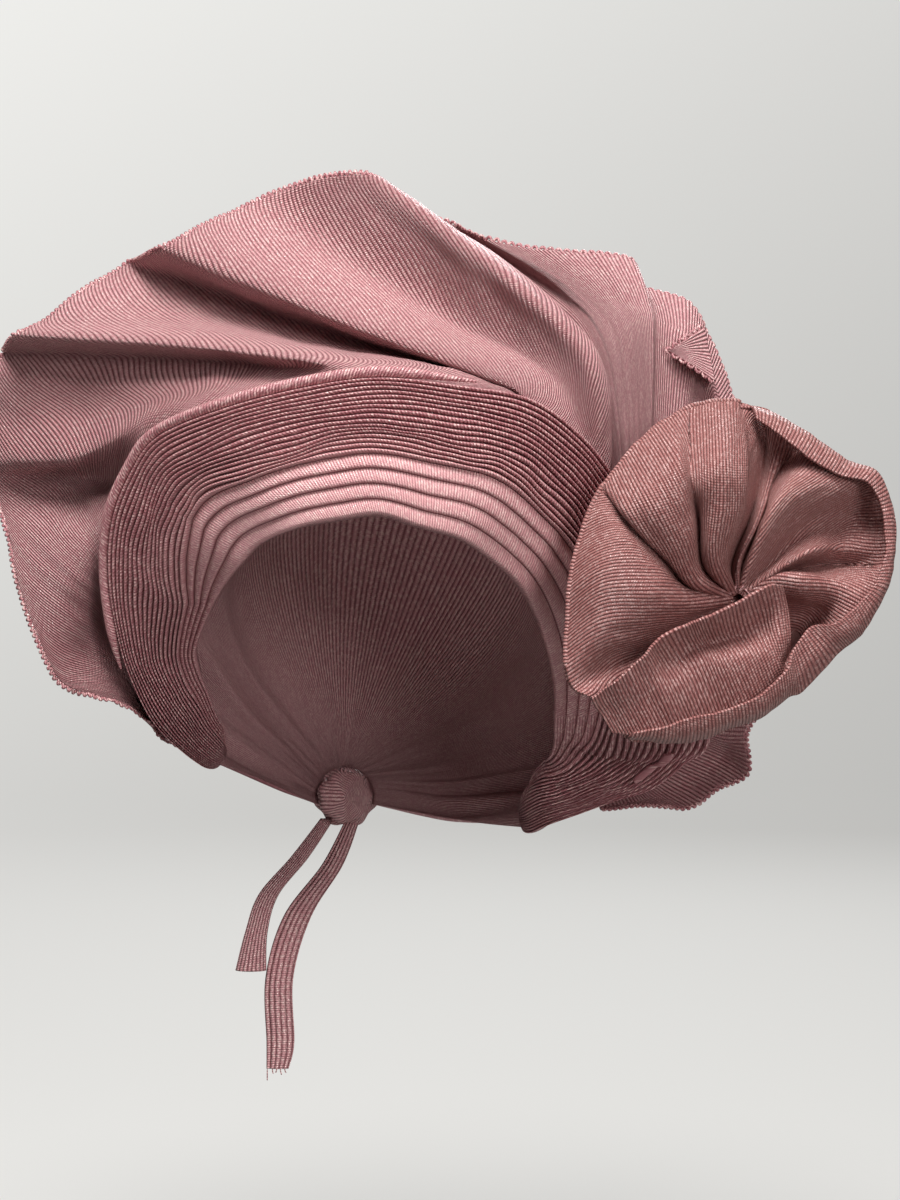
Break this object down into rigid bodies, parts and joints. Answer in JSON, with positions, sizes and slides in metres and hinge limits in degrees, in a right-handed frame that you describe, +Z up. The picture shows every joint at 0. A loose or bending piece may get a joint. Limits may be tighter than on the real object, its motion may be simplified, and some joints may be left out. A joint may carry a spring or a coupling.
{
  "type": "tied gele head tie",
  "caption": "Ribbed cloth head tie with stepped pleats round the face, a standing folded fan, a gathered side rosette and hanging nape ties.",
  "frame": {"origin": "the top of the head hollow, where the cloth rests on the crown of the head", "axes": "+Z up out of the crown, the face looks towards -Y, +X to the side of the rosette"},
  "size_m": [0.3971, 0.1982, 0.4136],
  "materials": {
    "ribbed_cloth": "ribbed woven cloth, dusty rose with a light sheen",
    "plain_cloth": "finer ribbed cloth, brownish rose, low sheen"
  },
  "bodies": {
    "root": {"pleated_front": "ribbed_cloth", "outer_pleat": "ribbed_cloth", "crown_cap": "ribbed_cloth", "fan_front": "ribbed_cloth", "fan_back": "ribbed_cloth", "side_tail": "ribbed_cloth", "rosette_back": "plain_cloth", "rosette_petal_left": "plain_cloth", "rosette_petal_upper": "plain_cloth", "rosette_petal_centre": "plain_cloth", "rosette_fold_inner": "plain_cloth", "rosette_fold_outer": "plain_cloth", "rosette_cup": "plain_cloth", "rosette_petal_right": "plain_cloth", "rosette_flap": "plain_cloth", "rosette_rim": "plain_cloth", "rosette_knot": "plain_cloth", "nape_knot": "ribbed_cloth", "tie_long": "ribbed_cloth", "tie_short": "ribbed_cloth"}
  },
  "joints": []
}
